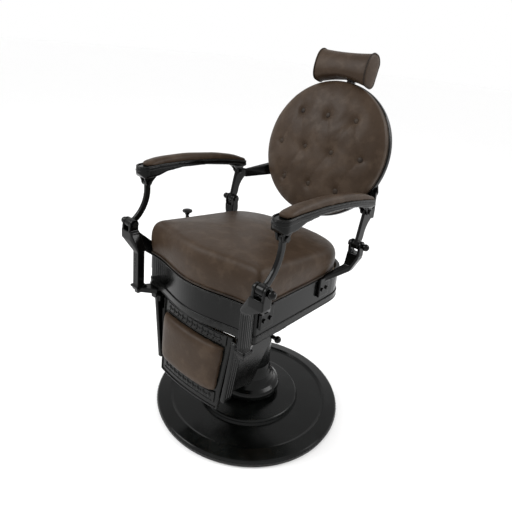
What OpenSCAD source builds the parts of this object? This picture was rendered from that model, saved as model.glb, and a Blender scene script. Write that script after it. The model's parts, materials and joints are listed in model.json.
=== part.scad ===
// Hydraulic barber chair with a round tufted back, open cast arms, a swing-out
// legrest and a bolster headrest. Millimetres, +Z up. The origin is the centre
// of the round base on the floor, the chair faces -Y and +X is the sitter's left.

/* [Base and pump] */
// Radius of the round floor base
base_r = 350; // [345:1:360]
// Height of the rim of the base
rim_h = 24; // [22:1:28]
// Radius of the raised centre of the base
plateau_r = 192; // [180:1:200]
// Radius of the bell cover at its belly
bell_r = 118; // [110:1:124]
// Radius of the neck of the bell cover
neck_r = 71; // [68:1:74]
// Radius of the lifting ram
ram_r = 28; // [26:1:30]

/* [Seat] */
// Half of the width of the seat ring
seat_half_w = 243; // [240:1:246]
// How far the straight front corners stand forward of the column
seat_front = 300; // [295:1:305]
// How far the bow of the front stands forward of its corners
bow_depth = 36; // [25:1:40]
// Height of the underside of the seat ring above the floor
ring_z = 499; // [495:1:504]
// Height of the seat ring
ring_h = 113; // [108:1:117]
// Thickness of the wall of the seat ring
ring_wall = 9; // [7:1:10]
// Height of the seat cushion above the ring along its front
cushion_front_h = 132; // [120:1:138]
// Height of the seat cushion above the ring along its back
cushion_back_h = 74; // [66:1:78]

/* [Backrest and headrest] */
// Radius of the round back shell
back_r = 257; // [252:1:258]
// Lean of the upright back from the vertical
back_lean = 16.4; // [14:0.2:20]
// Spacing of the buttons along a row
button_pitch = 118; // [110:1:122]
// Spacing of the rows of buttons
button_rows = 130; // [120:1:134]
// Half of the length of the headrest bolster
bolster_half_l = 113; // [108:1:118]
// Half of the height of the headrest bolster
bolster_half_h = 61; // [56:1:64]

/* [Arms and linkage] */
// Distance of an arm's centre plane from the middle of the chair
arm_x = 292; // [290:1:296]
// Radius of the main knuckle pins
knuckle_pin_r = 7; // [6:0.5:8]
// Radius of the pins under the arms
arm_pin_r = 6; // [5:0.5:6.5]

/* [Legrest] */
// Half of the width of the legrest panel along its top
panel_top_w = 164; // [160:1:165]
// Half of the width of the legrest panel along its foot
panel_foot_w = 139; // [134:1:140]
// Height of the legrest panel
panel_h = 268; // [262:1:270]

/* [Hidden] */
$fn = 64;

black = [0.05, 0.05, 0.055];
steel = [0.55, 0.55, 0.57];
leather = [0.23, 0.15, 0.11];
rubber = [0.02, 0.02, 0.02];

fit = 0.05;          // radial clearance of a turning or sliding fit
slack = 0.2;         // radial clearance of a screw or a pressed pin
joint_gap = 0.2;     // distance between faces that are bolted together

ring_top = ring_z + ring_h;
seat_side_end = 60;     // where the straight sides of the ring meet its round back
seat_back_depth = 160;
cushion_side_end = 30;  // the same for the cushion, which is rounder
cushion_back_depth = 175;
corner_r = 12;
bow_half = 228;

// Linkage pivots in the side plane, as [y, z]
low_knuckle = [-346, 716];
high_knuckle = [-285, 850];
arm_rear = [152, 837];
rear_knuckle = [132, 722];

back_origin = [0, 297, 975];  // centre of the back, on the plane of the cushion's edge
legrest_pivot = [-276, 440];
legrest_lean = 4.3;
panel_top_z = 480;
leg_tilt = 7.3;      // sideways tilt of the fluted legs
leg_x = 184;         // centre of a leg along its top
leg_front = -318;    // front face of a leg
rail_top = ring_z - joint_gap;  // the flat rails lie under the ring
rail_t = 8;
post_centre = [248, -344];      // centre of the fluted pilaster, as [x, y]

// ---------- helpers ----------
// Builds the sitter's left (+X) piece, or its mirror image on the right
module on_side(side) {
  if (side == "left") children();
  else mirror([1, 0, 0]) children();
}

// Extrudes a [y, z] outline along X, from x0 for a length of t
module side_plate(x0, t) {
  translate([x0, 0, 0]) rotate([90, 0, 90]) linear_extrude(t) children();
}

// A cylinder along X that starts at x0, through the side point p = [y, z]
module x_rod(p, x0, length, r) {
  translate([x0, p[0], p[1]]) rotate([0, 90, 0]) cylinder(r = r, h = length);
}

// A block from its low corner to its high corner
module block(low, high) {
  translate(low) cube(high - low);
}

// A hexagon head screw along +Z, its head above z = 0 and its shank below
module hex_screw(head_r, head_h, shank_r, shank_l) {
  cylinder(r = head_r, h = head_h, $fn = 6);
  translate([0, 0, -shank_l]) cylinder(r = shank_r, h = shank_l + 0.5);
}

function arc(cx, cy, r, a0, a1, n) =
  [for (i = [0:n]) let (a = a0 + (a1 - a0) * i / n) [cx + r * cos(a), cy + r * sin(a)]];

// ---------- seat outline: bow front with ogee ends, straight sides, round back ----------
function bow(x) = abs(x) < bow_half ? bow_depth * 0.5 * (1 + cos(180 * x / bow_half)) : 0;

// The round back is a superellipse: a higher power makes it squarer
function seat_outline(inset, side_end, depth, power) =
  let (w = seat_half_w - inset, f = -seat_front + inset, r = max(corner_r - inset, 3), e = w - r)
  concat(
    [for (i = [0:36]) let (x = -e + 2 * e * i / 36) [x, f - bow(x)]],
    arc(e, f + r, r, -75, 0, 5),
    [for (i = [0:32]) let (a = 180 * i / 32)
      [w * sign(cos(a)) * pow(abs(cos(a)), 2 / power),
        side_end + (depth - inset) * pow(sin(a), 2 / power)]],
    arc(-e, f + r, r, 180, 255, 5));

module seat_slab(inset, z0, z1) translate([0, 0, z0]) linear_extrude(z1 - z0)
  polygon(seat_outline(inset, seat_side_end, seat_back_depth, 3.2));

// ---------- base and pump ----------
// Dished cast base: ridged rim, sloping border, sunk ring and raised centre
module base_plate() color(black) difference() {
  rotate_extrude($fn = 128) polygon(concat(
    [[0, 4.2], [base_r - 11.8, 4.2], [base_r - 11.8, 7], [base_r - 2.8, 7], [base_r - 2, 6],
     [base_r - 2, 9], [base_r, 11], [base_r - 1.5, 13], [base_r, 15], [base_r - 1.5, 17],
     [base_r, 19]],
    arc(base_r - 8, rim_h - 6, 8, 10, 80, 4),
    [[base_r - 44, rim_h + 9], [base_r - 48, rim_h + 9.5]],
    [[base_r - 53, rim_h + 3], [base_r - 60, rim_h + 1], [plateau_r + 4, rim_h + 4]],
    arc(plateau_r - 10, rim_h + 12, 10, 0, 80, 5),
    [[128, rim_h + 26], [0, rim_h + 26]]));
  // Hollow underside between the rim and the centre boss
  rotate_extrude($fn = 96) polygon([[70, 4], [base_r - 24, 4], [base_r - 24, 12],
    [base_r - 48, rim_h - 1], [plateau_r, rim_h - 4], [plateau_r - 16, rim_h + 10],
    [120, rim_h + 16], [70, rim_h + 16]]);
  // Pocket for the foot of the pump cylinder
  translate([0, 0, 4]) cylinder(r = 50 + slack, h = 60);
  for (a = [0:60:300]) rotate([0, 0, a]) translate([62, 0, 36])
    cylinder(r = 4.2, h = 20, $fn = 24);
}

module base_gasket() color(rubber) rotate_extrude($fn = 96)
  polygon([[base_r - 11.6, 0], [base_r - 3, 0], [base_r - 3, 6.8], [base_r - 11.6, 6.8]]);

module floor_plate() color(steel) cylinder(r = base_r - 12, h = 4, $fn = 96);

// Thick tube with a closed foot and a bolted flange
module pump_cylinder() color(black) difference() {
  union() {
    translate([0, 0, 4.2]) cylinder(r = 50, h = 253.8);
    translate([0, 0, rim_h + 26.2]) cylinder(r = 74, h = 8);
  }
  translate([0, 0, 24]) cylinder(r = 34, h = 300);
  for (a = [0:60:300]) rotate([0, 0, a]) translate([62, 0, 40])
    cylinder(r = 4.2, h = 30, $fn = 24);
}

module cylinder_bolts() color(steel)
  for (a = [0:60:300]) rotate([0, 0, a]) translate([62, 0, rim_h + 34.2])
    hex_screw(8, 6, 4, 18);

// Bush in the mouth of the cylinder that the ram slides in
module gland_nut() color(steel) difference() {
  union() {
    translate([0, 0, 232]) cylinder(r = 34 - 0.1, h = 26.2);
    translate([0, 0, 258.2]) cylinder(r = 44, h = 12);
  }
  translate([0, 0, 230]) cylinder(r = ram_r + fit, h = 50);
}

// Bell-shaped cover: round belly above the base, slim neck below the seat
module pump_cover() color(black) {
  rotate_extrude($fn = 96) polygon(concat(
    [[bell_r - 24, rim_h + 26.2]],
    arc(bell_r - 26, rim_h + 54, 26, -70, 40, 8),
    [[101, rim_h + 79], [91, rim_h + 92], [83, rim_h + 108], [77, rim_h + 128],
     [neck_r + 1, rim_h + 152], [neck_r, rim_h + 172], [neck_r, 262]],
    arc(neck_r - 5, 267, 5, 0, 90, 3),
    [[46, 272], [46, 266], [neck_r - 7, 266], [neck_r - 7, rim_h + 172],
     [70, rim_h + 128], [75, rim_h + 108], [84, rim_h + 88], [bell_r - 16, rim_h + 66],
     [bell_r - 10, rim_h + 52], [bell_r - 32, rim_h + 34], [bell_r - 32, rim_h + 26.2]]));
}

// ---------- lifting body ----------
module ram() color(steel) {
  translate([0, 0, 150]) cylinder(r = ram_r, h = 278);
  translate([0, 0, 428]) cylinder(r = 20, h = 60);
  translate([0, 0, 130.2]) cylinder(r = 12, h = 20);
}

module piston_head() color(steel) difference() {
  translate([0, 0, 131]) cylinder(r = 34 - fit, h = 19);
  translate([0, 0, 120]) cylinder(r = 12 + slack, h = 40);
}

module thrust_washer() color([0.7, 0.5, 0.25]) difference() {
  translate([0, 0, 428.1]) cylinder(r = 40, h = 3.8);
  translate([0, 0, 420]) cylinder(r = 20 + slack, h = 20);
}

// ---------- seat frame ----------
// Cast hub that turns on the ram, with its spider and the lugs of the two levers
module seat_hub() color(black) difference() {
  union() {
    translate([0, 0, 432]) cylinder(r = 45, h = 48);
    block([-60, -175, 476], [60, 140, rail_top - rail_t - joint_gap]);
    block([-118, -26, 436], [-30, 26, 480]);
    block([58, -120, 386], [72, -88, 488]);
    block([44, -120, 476], [72, -88, 490]);
  }
  translate([0, 0, 430]) cylinder(r = 20 + fit, h = 59);
  x_rod([0, 456], -130, 78, 10 + fit);
  x_rod([-104, 402], 50, 30, 7 + fit);
}

// Flat steel cross rails between the hub's spider and the ring
module seat_rails() color(black)
  for (rail = [[-160, 240], [105, 232]])
    block([-rail[1], rail[0] - 20, rail_top - rail_t], [rail[1], rail[0] + 20, rail_top]);

module seat_ring() color(black) difference() {
  union() {
    seat_slab(0, ring_z + 20, ring_top);
    seat_slab(-3, ring_z, ring_z + 22);
    seat_slab(-1.5, ring_z + 22, ring_z + 26);
  }
  seat_slab(ring_wall, ring_z + 75, ring_top + 1);
  seat_slab(ring_wall, ring_z - 1, ring_z + 66);
  seat_slab(26, ring_z + 60, ring_z + 80);
}

module seat_board() color([0.6, 0.45, 0.28])
  seat_slab(ring_wall + 1, ring_z + 75, ring_z + 90);

// Cushion with rounded edges, higher along its front than its back
module seat_cushion() color(leather) {
  low = ring_top + joint_gap;
  seat_slab(ring_wall + 3, ring_z + 90.2, low + 1);
  for (layer = [[3, 26], [9, 10], [24, 0]]) intersection() {
    translate([0, 0, low]) linear_extrude(200)
      polygon(seat_outline(layer[0], cushion_side_end, cushion_back_depth, 2.5));
    side_plate(-300, 600) polygon([[-350, low - 1], [-350, ring_top + cushion_front_h - layer[1]],
      [220, ring_top + cushion_back_h - layer[1]], [220, low - 1]]);
  }
}

// Cast bracket that carries an arm's post: flange on the ring's corner, fork at
// the knuckle, fluted pilaster and stepped corbel, and a return below the ring
module front_bracket(side) color(black) on_side(side) {
  px = post_centre[0];
  py = post_centre[1];
  side_x = seat_half_w + joint_gap;
  difference() {
    union() {
      block([side_x, -288, 548], [254, -232, 616]);
      hull() {
        block([side_x, -286, 596], [254, -250, 616]);
        block([262, -362, 656], [279.5, -332, 690]);
      }
      hull() {
        block([px - 15, py - 15, 632], [px + 15, py + 15, 640]);
        block([266, -366, 666], [316, -330, 694]);
      }
      fork_cheek(270, 9.5);
      fork_cheek(306.5, 9.5);
      block([px - 14, py - 14, 504], [px + 14, py + 14, 636]);
      // Stepped corbel below the pilaster
      for (step = [[20, 498, 506], [15, 488, 498.5], [10, 476, 488.5]])
        block([px - step[0], py - step[0], step[1]], [px + step[0], py + step[0], step[2]]);
      // Return below the corner of the ring, to the top of the leg
      hull() {
        block([px - 12, py - 6, ring_z - 18], [px + 8, py + 12, ring_z - joint_gap]);
        block([leg_x + 4, leg_front + 6, ring_z - 18], [leg_x + 44, leg_front + 40, ring_z - joint_gap]);
      }
    }
    x_rod(low_knuckle, 260, 70, knuckle_pin_r + slack);
    // Flutes on the front and outer faces of the pilaster
    for (i = [-1:1]) {
      translate([px + 8 * i, py - 15.5, 510]) cylinder(r = 3.2, h = 118, $fn = 24);
      translate([px + 15.5, py + 8 * i, 510]) cylinder(r = 3.2, h = 118, $fn = 24);
    }
    for (y = [-274, -246]) x_rod([y, 575], 240, 20, 4.2);
  }
}

module fork_cheek(x0, t) side_plate(x0, t) {
  translate(low_knuckle) circle(r = 17);
  polygon([[-363, 716], [-366, 680], [-332, 680], [-329, 716]]);
}

// Fluted leg with the smooth cheek behind it, which holds the legrest's pivot
module side_leg(side) color(black) on_side(side) difference() {
  union() {
    translate([leg_x, 0, 470]) rotate([0, leg_tilt, 0]) difference() {
      union() {
        block([-8, leg_front, -222], [8, leg_front + 37, 6]);
        side_plate(-4, 8) polygon(concat(
          [[leg_front + 34, -196], [leg_front + 34, 4], [leg_front + 212, 4],
           [leg_front + 146, -190]],
          arc(leg_front + 116, -197, 25, -12, -150, 6)));
      }
      for (i = [-1:1]) translate([9.6, leg_front + 18.5 + 10 * i, -206])
        cylinder(r = 3.4, h = 204, $fn = 24);
    }
    x_rod(legrest_pivot, 167, 26, 13);
    block([leg_x - 15, leg_front + 5, 461], [leg_x + 34, leg_front + 40, ring_z - 18 - joint_gap]);
  }
  x_rod(legrest_pivot, 140, 60, 6 + slack);
}

module legrest_pins() color(steel) for (m = [0, 1]) mirror([m, 0, 0]) {
  x_rod(legrest_pivot, 150, 44, 6);
  translate([193 + joint_gap, legrest_pivot[0], legrest_pivot[1]]) rotate([0, 90, 0])
    cylinder(r = 10, h = 5, $fn = 6);
}

// Knuckle pin with a ball cap on its outer end
module knuckle_pin(p) color(black) {
  x_rod(p, 268, 54, knuckle_pin_r);
  translate([326, p[0], p[1]]) sphere(r = 12);
  translate([264, p[0], p[1]]) rotate([0, 90, 0]) cylinder(r = 11, h = 4.5, $fn = 6);
}

module post_pin(side) on_side(side) knuckle_pin(low_knuckle);
module back_pin(side) on_side(side) knuckle_pin(rear_knuckle);

// Bent bar from the ring's side up to the fork of the back's knuckle
module rear_bracket(side) color(black) on_side(side) difference() {
  union() {
    block([seat_half_w + joint_gap, 4, 548], [254, 58, 616]);
    hull() {
      block([seat_half_w + joint_gap, 30, 602], [254, 56, 620]);
      block([268, 106, 628], [292, 130, 648]);
    }
    hull() {
      block([268, 108, 628], [292, 132, 648]);
      block([270, 116, 676], [312, 148, 694]);
    }
    rear_fork_cheek(270, 9.5);
    rear_fork_cheek(304.5, 9.5);
  }
  x_rod(rear_knuckle, 260, 70, knuckle_pin_r + slack);
  for (y = [18, 44]) x_rod([y, 575], 240, 20, 4.2);
}

module rear_fork_cheek(x0, t) side_plate(x0, t) {
  translate(rear_knuckle) circle(r = 16);
  polygon([[116, 722], [118, 684], [146, 684], [148, 722]]);
}

// Screws that hold the four brackets to the ring
module frame_bolts() color(black) for (m = [0, 1]) mirror([m, 0, 0])
  for (y = [-274, -246, 18, 44]) translate([254 + joint_gap, y, 575]) rotate([0, 90, 0])
    hex_screw(7, 5, 4, 9);

// ---------- front posts ----------
// Curved post from the low knuckle to the high one, bowed towards the back
module front_post(side) color(black) on_side(side) {
  chord = high_knuckle - low_knuckle;
  length = norm(chord);
  sag = 24;
  curve_r = (length * length / 4 + sag * sag) / (2 * sag);
  half_a = asin(length / 2 / curve_r);
  lean = atan2(chord[1], chord[0]);
  middle = (low_knuckle + high_knuckle) / 2;
  centre = middle + (curve_r - sag) * [-sin(lean), cos(lean)];
  difference() {
    union() {
      side_plate(286, 12) polygon(concat(
        arc(centre[0], centre[1], curve_r + 10, lean - 90 - half_a + 3, lean - 90 + half_a - 3, 14),
        arc(centre[0], centre[1], curve_r - 10, lean - 90 + half_a - 3, lean - 90 - half_a + 3, 14)));
      x_rod(low_knuckle, 280, 26, 16);
      x_rod(high_knuckle, 286, 12, 12);
    }
    x_rod(low_knuckle, 270, 50, knuckle_pin_r + fit);
    x_rod(high_knuckle, 270, 50, arm_pin_r + 2);
  }
}

// ---------- arms ----------
arm_nose_r = 28;
arm_tail_r = 19;
arm_nose_y = -294;
arm_tail_y = 171;

function arm_plan(inset) = concat(
  arc(arm_x, arm_nose_y, arm_nose_r - inset, 180, 360, 16),
  arc(arm_x, arm_tail_y, arm_tail_r - inset, 0, 180, 12));

// Boat-shaped casting that carries the pad, with two lugs at each pivot
module arm(side) color(black) on_side(side) difference() {
  union() {
    intersection() {
      translate([0, 0, 780]) linear_extrude(180) polygon(arm_plan(0));
      side_plate(arm_x - 40, 80) polygon([[-323, 884], [-323, 903], [-250, 908], [-120, 907],
        [20, 896], [120, 882], [191, 868], [191, 853], [126, 855], [76, 870], [-40, 885],
        [-150, 889], [-220, 883], [-254, 872], [-308, 868]]);
    }
    for (x0 = [277, 298.5]) {
      side_plate(x0, 8.5) {
        translate(high_knuckle) circle(r = 13);
        polygon([[-298, 850], [-309, 878], [-240, 880], [-272, 850]]);
      }
      side_plate(x0, 8.5) {
        translate(arm_rear) circle(r = 13);
        polygon([[139, 837], [112, 862], [172, 860], [165, 837]]);
      }
    }
  }
  x_rod(high_knuckle, 260, 70, arm_pin_r + slack);
  x_rod(arm_rear, 260, 70, arm_pin_r + slack);
}

module arm_pad(side) color(leather) on_side(side) intersection() {
  translate([0, 0, 780]) linear_extrude(180) polygon(arm_plan(3));
  side_plate(arm_x - 40, 80) polygon([[-320, 903.6], [-250, 908.3], [-120, 907.2], [20, 896.2],
    [120, 882.3], [190, 868.6], [190, 876], [120, 903], [20, 920], [-120, 931], [-230, 930],
    [-296, 920], [-320, 912]]);
}

module arm_pin(side, p) color(black) on_side(side) {
  x_rod(p, 274, 36, arm_pin_r);
  translate([307.2, p[0], p[1]]) rotate([0, 90, 0]) cylinder(r = 9, h = 5, $fn = 6);
}

// ---------- back ----------
// Places children in the leaning frame of the back: y backwards, z up the back
module back_frame() {
  translate(back_origin) rotate([-back_lean, 0, 0]) children();
}

module back_disc(y0, r0, y1, r1) {
  back_frame() translate([0, y0, 0]) rotate([-90, 0, 0])
    cylinder(r1 = r0, r2 = r1, h = y1 - y0, $fn = 96);
}

module back_shell() color(black) difference() {
  union() {
    back_disc(20.2, back_r - 2, 24, back_r);
    back_disc(24, back_r, 36, back_r);
    back_disc(36, back_r, 40, back_r - 8);
    back_disc(40, back_r - 46, 46, back_r - 70);
  }
  back_frame() for (x = [-20, 20], z = [104, 136])
    translate([x, 30, z]) rotate([-90, 0, 0]) cylinder(r = 3.2, h = 20, $fn = 24);
}

// Positions of the buttons, three over four over three
button_spots = concat(
  [for (x = [-1:1]) [x * button_pitch, button_rows - 14]],
  [for (x = [-1.5:1:1.5]) [x * button_pitch, -14]],
  [for (x = [-1:1]) [x * button_pitch, -button_rows - 14]]);

// Depth of the cushion's crown in front of its edge at a distance d from the middle
function crown(d) = 44 * (1 - pow(d / back_r, 2.4));

module back_cushion() color(leather) difference() {
  back_frame() rotate([90, 0, 0]) rotate_extrude($fn = 96) polygon(concat(
    [[0, -20]], [[back_r - 5, -20]],
    [for (i = [0:12]) let (d = (back_r - 3) * (1 - i / 12)) [d, crown(d) - 2]]));
  back_frame() for (p = button_spots) translate([p[0], 0, p[1]]) rotate([90, 0, 0])
    translate([0, 0, crown(norm(p)) - 12]) cylinder(r = 15, h = 40, $fn = 32);
}

module back_buttons() color(leather) back_frame() for (p = button_spots)
  translate([p[0], 0, p[1]]) rotate([90, 0, 0]) translate([0, 0, crown(norm(p)) - 12]) {
    cylinder(r = 8, h = 3, $fn = 32);
    translate([0, 0, 3]) cylinder(r1 = 8, r2 = 4, h = 3, $fn = 32);
  }

// Flat blade: eye on the rear knuckle, eye for the arm, and a sweep to the shell
module back_bracket(side) color(black) on_side(side) difference() {
  union() {
    side_plate(286.5, 11) {
      translate(arm_rear) circle(r = 11.5);
      polygon(concat([[117, 722], [140.5, 837], [152, 848.5], [207, 834], [209, 806]],
        arc(236, 742, 76, 112, 178, 8), [[150, 722]]));
    }
    x_rod(rear_knuckle, 280, 24, 15);
    hull() {
      block([286.5, 196, 802], [297.5, 208, 834]);
      back_frame() block([214, 42, -148], [242, 50, -102]);
    }
    back_frame() translate([0, 40.2, 0]) rotate([-90, 0, 0]) linear_extrude(8)
      polygon([[196, 150], [244, 138], [250, 106], [238, 72], [214, 76], [198, 108]]);
  }
  x_rod(rear_knuckle, 270, 50, knuckle_pin_r + fit);
  x_rod(arm_rear, 270, 50, arm_pin_r + fit);
  // Relief where the blade passes the rim of the shell
  back_disc(18, back_r + 0.3, 40.1, back_r + 0.3);
}

// Screws through the brackets and the headrest socket into the shell
module shell_bolts() color(black) back_frame() {
  for (x = [-20, 20], z = [104, 136]) translate([x, 52.2, z]) rotate([-90, 0, 0])
    hex_screw(5.5, 3.4, 3, 18);
}

// Open block on the back of the shell that the headrest's bar slides in
module headrest_socket() color(black) back_frame() difference() {
  union() {
    block([-28, 46.2, 94], [28, 52, 146]);
    block([-24.5, 46.2, 90], [24.5, 72, 150]);
    translate([0, 71, 120]) rotate([-90, 0, 0]) cylinder(r = 12, h = 9);
  }
  block([-18.2, 55.8, 80], [18.2, 64.2, 160]);
  translate([0, 60, 120]) rotate([-90, 0, 0]) cylinder(r = 5 + fit, h = 40);
  for (x = [-20, 20], z = [104, 136]) translate([x, 40, z]) rotate([-90, 0, 0])
    cylinder(r = 3.2, h = 12.1, $fn = 24);
  for (x = [-20, 20], z = [104, 136]) translate([x, 52, z]) rotate([-90, 0, 0])
    cylinder(r = 6.5, h = 30, $fn = 24);
}

// Screw with a lobed grip that clamps the bar
module clamp_knob() color(black) back_frame() translate([0, 64.6, 120]) rotate([-90, 0, 0]) {
  cylinder(r = 5, h = 22);
  translate([0, 0, 18]) cylinder(r = 13, h = 12);
  for (a = [0:72:288]) rotate([0, 0, a]) translate([13, 0, 18]) cylinder(r = 6, h = 12);
}

module headrest_bar() color(steel) back_frame() difference() {
  union() {
    block([-18, 56, -30], [18, 64, 300]);
    translate([-18, 60, 300]) rotate([0, 90, 0]) cylinder(r = 12, h = 36);
  }
  translate([-30, 60, 300]) rotate([0, 90, 0]) cylinder(r = 5 + fit, h = 60);
}

module headrest_pivot() color(steel) back_frame() translate([-30, 60, 300]) rotate([0, 90, 0]) {
  cylinder(r = 5, h = 60);
  translate([0, 0, -4]) cylinder(r = 9, h = 4, $fn = 6);
  translate([0, 0, 60]) cylinder(r = 9, h = 4, $fn = 6);
}

bolster_centre = [-6, 299];  // in the frame of the back, as [y, z]
bolster_depth = 45;
bolster_flat = 34.4;          // where the bolster's back lies on its board

module bolster_board() color(black) back_frame() difference() {
  union() {
    block([-90, bolster_flat + joint_gap, 274], [90, 41, 336]);
    for (x0 = [-28, 18.4]) {
      block([x0, 40, 290], [x0 + 9.6, 60, 310]);
      translate([x0, 60, 300]) rotate([0, 90, 0]) cylinder(r = 12, h = 9.6);
    }
  }
  translate([-40, 60, 300]) rotate([0, 90, 0]) cylinder(r = 5 + slack, h = 80);
}

// Soft bolster along X with a rounded section, hollowed where it clears the top of the back
module headrest_bolster() color(leather) back_frame() difference() {
  side_plate(-bolster_half_l, 2 * bolster_half_l) polygon([for (i = [0:47]) let (a = 7.5 * i)
    bolster_centre + [bolster_depth * sign(cos(a)) * pow(abs(cos(a)), 0.8),
      bolster_half_h * sign(sin(a)) * pow(abs(sin(a)), 0.8)]]);
  block([-200, bolster_flat, 200], [200, 100, 400]);
  translate([0, -100, 0]) rotate([-90, 0, 0]) cylinder(r = back_r + 5, h = 200, $fn = 96);
}

// ---------- legrest ----------
// Places children on the panel: origin at the middle of its top edge, z up
module legrest_frame() {
  translate([0, -294, panel_top_z]) rotate([-legrest_lean, 0, 0]) children();
}

function panel_curve(x) = -18 * (1 - pow(x / panel_top_w, 2));

// Curved layer of the panel between two depths, cut to [x, z] outline points
module panel_layer(d0, d1, half_w, outline) intersection() {
  translate([0, 0, -400]) linear_extrude(500) polygon(concat(
    [for (i = [-14:14]) let (x = half_w * i / 14) [x, panel_curve(x) - d1]],
    [for (i = [14:-1:-14]) let (x = half_w * i / 14) [x, panel_curve(x) - d0]]));
  translate([0, 60, 0]) rotate([90, 0, 0]) linear_extrude(160) polygon(outline);
}

function edge_x(z) = panel_top_w + (panel_foot_w - panel_top_w) * (-z / panel_h);

module legrest_panel() color(black) difference() {
  union() {
    legrest_frame() {
      panel_layer(-8, 0, panel_top_w, [[-edge_x(0), 0], [-edge_x(-panel_h), -panel_h],
        [edge_x(-panel_h), -panel_h], [edge_x(0), 0]]);
      // Stiffening ribs across the back
      for (z = [-16, -panel_h + 20]) panel_layer(-18, -7.9, 130,
        [[-128, z - 6], [-128, z + 6], [128, z + 6], [128, z - 6]]);
    }
    for (m = [0, 1]) mirror([m, 0, 0]) {
      x_rod(legrest_pivot, 152, 14, 13);
      block([152, -294, 426], [163, -276, 454]);
    }
  }
  x_rod(legrest_pivot, -200, 400, 6 + fit);
}

pad_points = [[-126, -206], [126, -206], [142, -54], [132, -40], [-132, -40], [-142, -54]];
module calf_pad() color(leather) legrest_frame() panel_layer(joint_gap, 28, 144, pad_points);

module legrest_trim(z0, z1, w) color(black) legrest_frame()
  panel_layer(0, 4, panel_top_w, [[-w, z0], [w, z0], [w, z1], [-w, z1]]);

// ---------- levers ----------
// Pumping lever: shaft under the seat, arm outside the ring, up to its knob
module pump_lever() color(black) {
  x_rod([0, 456], -308, 254, 10);
  hull() {
    translate([-300, 0, 456]) sphere(r = 12, $fn = 24);
    translate([-306, -62, 560]) sphere(r = 8, $fn = 24);
  }
  hull() {
    translate([-306, -62, 560]) sphere(r = 8, $fn = 24);
    translate([-306, -90, 684]) sphere(r = 7, $fn = 24);
  }
}

// Mushroom knob, turned, on the end of the pumping lever
module pump_lever_knob() color(black) translate([-306, -90, 691.2]) rotate_extrude()
  polygon([[0, 0], [9, 0], [8, 5], [17, 9], [19, 13], [17, 17], [9, 20], [0, 21]]);

// Catch lever of the seat, with a small ball knob under the left side
module lock_lever() color(black) {
  x_rod([-104, 402], 42, 134.8, 7);
  block([32, -112, 390], [44, -96, 440]);
}

// Ball with a flat towards its rod
module lock_knob() color(black) translate([188, -104, 402]) rotate([0, 90, 0]) rotate_extrude()
  polygon(concat([[0, -11]], arc(0, 0, 12, -66.4, 90, 16)));

base_plate();
base_gasket();
floor_plate();
pump_cylinder();
cylinder_bolts();
gland_nut();
pump_cover();
ram();
piston_head();
thrust_washer();
seat_hub();
seat_rails();
seat_ring();
seat_board();
seat_cushion();
front_bracket("left");  // front_bracket_left
front_bracket("right");  // front_bracket_right
side_leg("left");  // side_leg_left
side_leg("right");  // side_leg_right
post_pin("left");  // post_pin_left
post_pin("right");  // post_pin_right
rear_bracket("left");  // rear_bracket_left
rear_bracket("right");  // rear_bracket_right
back_pin("left");  // back_pin_left
back_pin("right");  // back_pin_right
frame_bolts();
legrest_pins();
back_bracket("left");  // back_bracket_left
back_bracket("right");  // back_bracket_right
back_shell();
back_cushion();
back_buttons();
headrest_socket();
shell_bolts();
clamp_knob();
headrest_bar();
headrest_pivot();
bolster_board();
headrest_bolster();
arm("left");  // arm_left
arm("right");  // arm_right
arm_pad("left");  // arm_pad_left
arm_pad("right");  // arm_pad_right
arm_pin("left", arm_rear);  // arm_rear_pin_left
arm_pin("right", arm_rear);  // arm_rear_pin_right
arm_pin("left", high_knuckle);  // arm_front_pin_left
arm_pin("right", high_knuckle);  // arm_front_pin_right
front_post("left");  // front_post_left
front_post("right");  // front_post_right
legrest_panel();
calf_pad();
legrest_trim(-37, -3, 142);  // legrest_trim_top
legrest_trim(-247, -210, 126);  // legrest_trim_foot
pump_lever();
pump_lever_knob();
lock_lever();
lock_knob();
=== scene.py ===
# %% [markdown]
# A hydraulic barber chair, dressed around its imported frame. The frame already
# holds every casting, pin and lever at its real size. This lesson adds what the
# frame leaves plain: leather that is padded and buttoned, castings with soft
# edges, beads and ornament, and a finish for every piece.

# %% Load the frame
import json
import math

import bmesh
import bpy
import numpy as np
from mathutils import Matrix, Vector

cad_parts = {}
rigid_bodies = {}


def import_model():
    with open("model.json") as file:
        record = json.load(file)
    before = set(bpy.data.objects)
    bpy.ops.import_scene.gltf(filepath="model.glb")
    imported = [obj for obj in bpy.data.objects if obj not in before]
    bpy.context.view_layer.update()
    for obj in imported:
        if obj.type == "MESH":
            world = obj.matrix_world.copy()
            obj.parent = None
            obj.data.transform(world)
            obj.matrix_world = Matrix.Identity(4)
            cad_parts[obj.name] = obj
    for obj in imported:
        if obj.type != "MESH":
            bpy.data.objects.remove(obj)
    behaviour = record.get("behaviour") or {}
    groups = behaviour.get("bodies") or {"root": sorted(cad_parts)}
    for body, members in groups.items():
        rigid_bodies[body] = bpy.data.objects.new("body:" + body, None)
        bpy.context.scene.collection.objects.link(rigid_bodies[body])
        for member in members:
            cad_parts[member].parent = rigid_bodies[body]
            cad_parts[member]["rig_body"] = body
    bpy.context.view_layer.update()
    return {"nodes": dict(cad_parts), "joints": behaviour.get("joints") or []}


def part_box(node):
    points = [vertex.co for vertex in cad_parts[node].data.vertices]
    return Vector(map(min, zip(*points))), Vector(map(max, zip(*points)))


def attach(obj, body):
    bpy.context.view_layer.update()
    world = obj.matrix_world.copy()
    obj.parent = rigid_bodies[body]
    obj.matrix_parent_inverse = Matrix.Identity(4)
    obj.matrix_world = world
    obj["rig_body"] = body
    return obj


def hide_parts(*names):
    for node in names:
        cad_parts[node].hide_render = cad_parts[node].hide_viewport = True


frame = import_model()
joints = {joint["name"]: joint for joint in frame["joints"]}

# %% [markdown]
# The camera stands to the chair's left front at head height and looks down on
# it. The lens is a mild wide angle, and a small shift keeps the chair in frame
# without turning the camera.

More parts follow.
